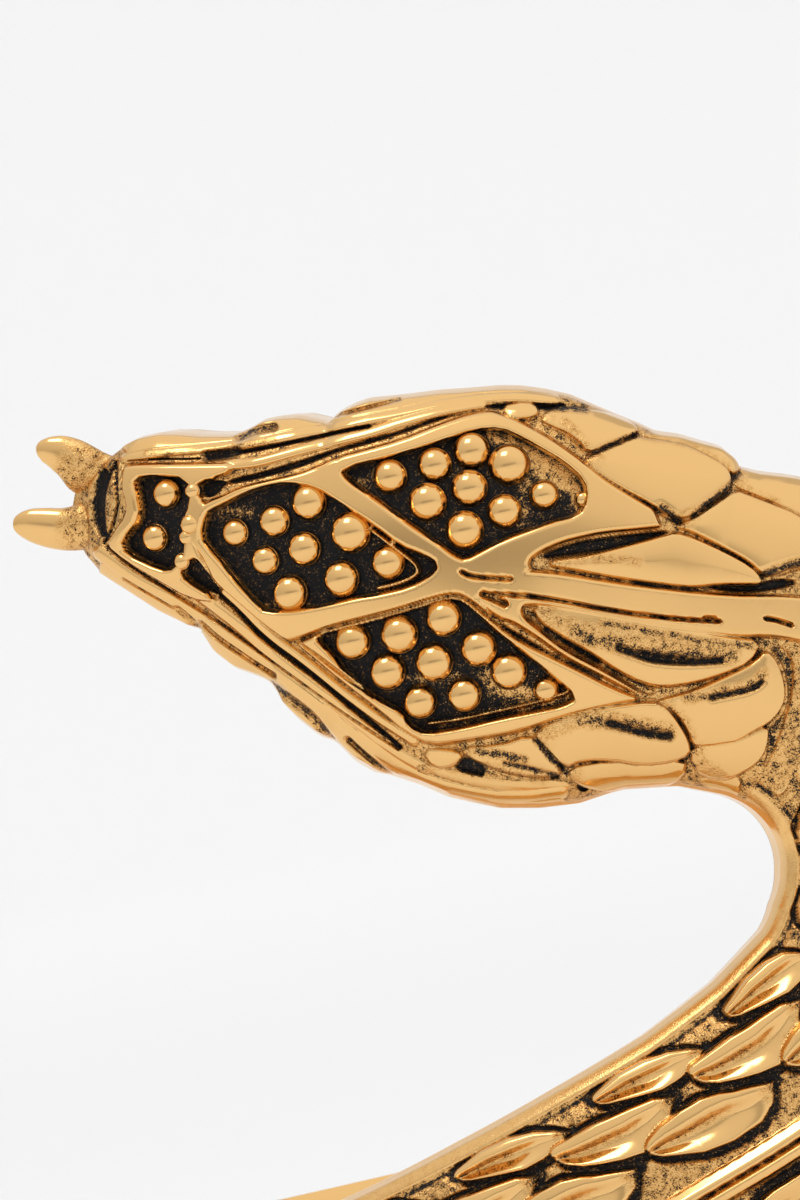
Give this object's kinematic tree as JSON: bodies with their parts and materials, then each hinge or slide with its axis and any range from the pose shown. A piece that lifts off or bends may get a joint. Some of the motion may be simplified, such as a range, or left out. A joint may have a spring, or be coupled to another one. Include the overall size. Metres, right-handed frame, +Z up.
{
  "type": "snake cuff bracelet",
  "caption": "Rigid open cuff cast as a coiled snake: scaled band round the wrist, bent neck and a raised head with studded cells and a forked tongue.",
  "frame": {"origin": "on the wrist's axis, in the plane of the lower rim that the cuff stands on", "axes": "+Z up along the wrist's axis, -Y the front with the head, +X to the right seen from the front"},
  "size_m": [0.0679, 0.0625, 0.0509],
  "materials": {
    "polished_gold": "polished gold tone with dark patina in the recesses"
  },
  "bodies": {
    "root": {"snake_cuff": "polished_gold"}
  },
  "joints": []
}
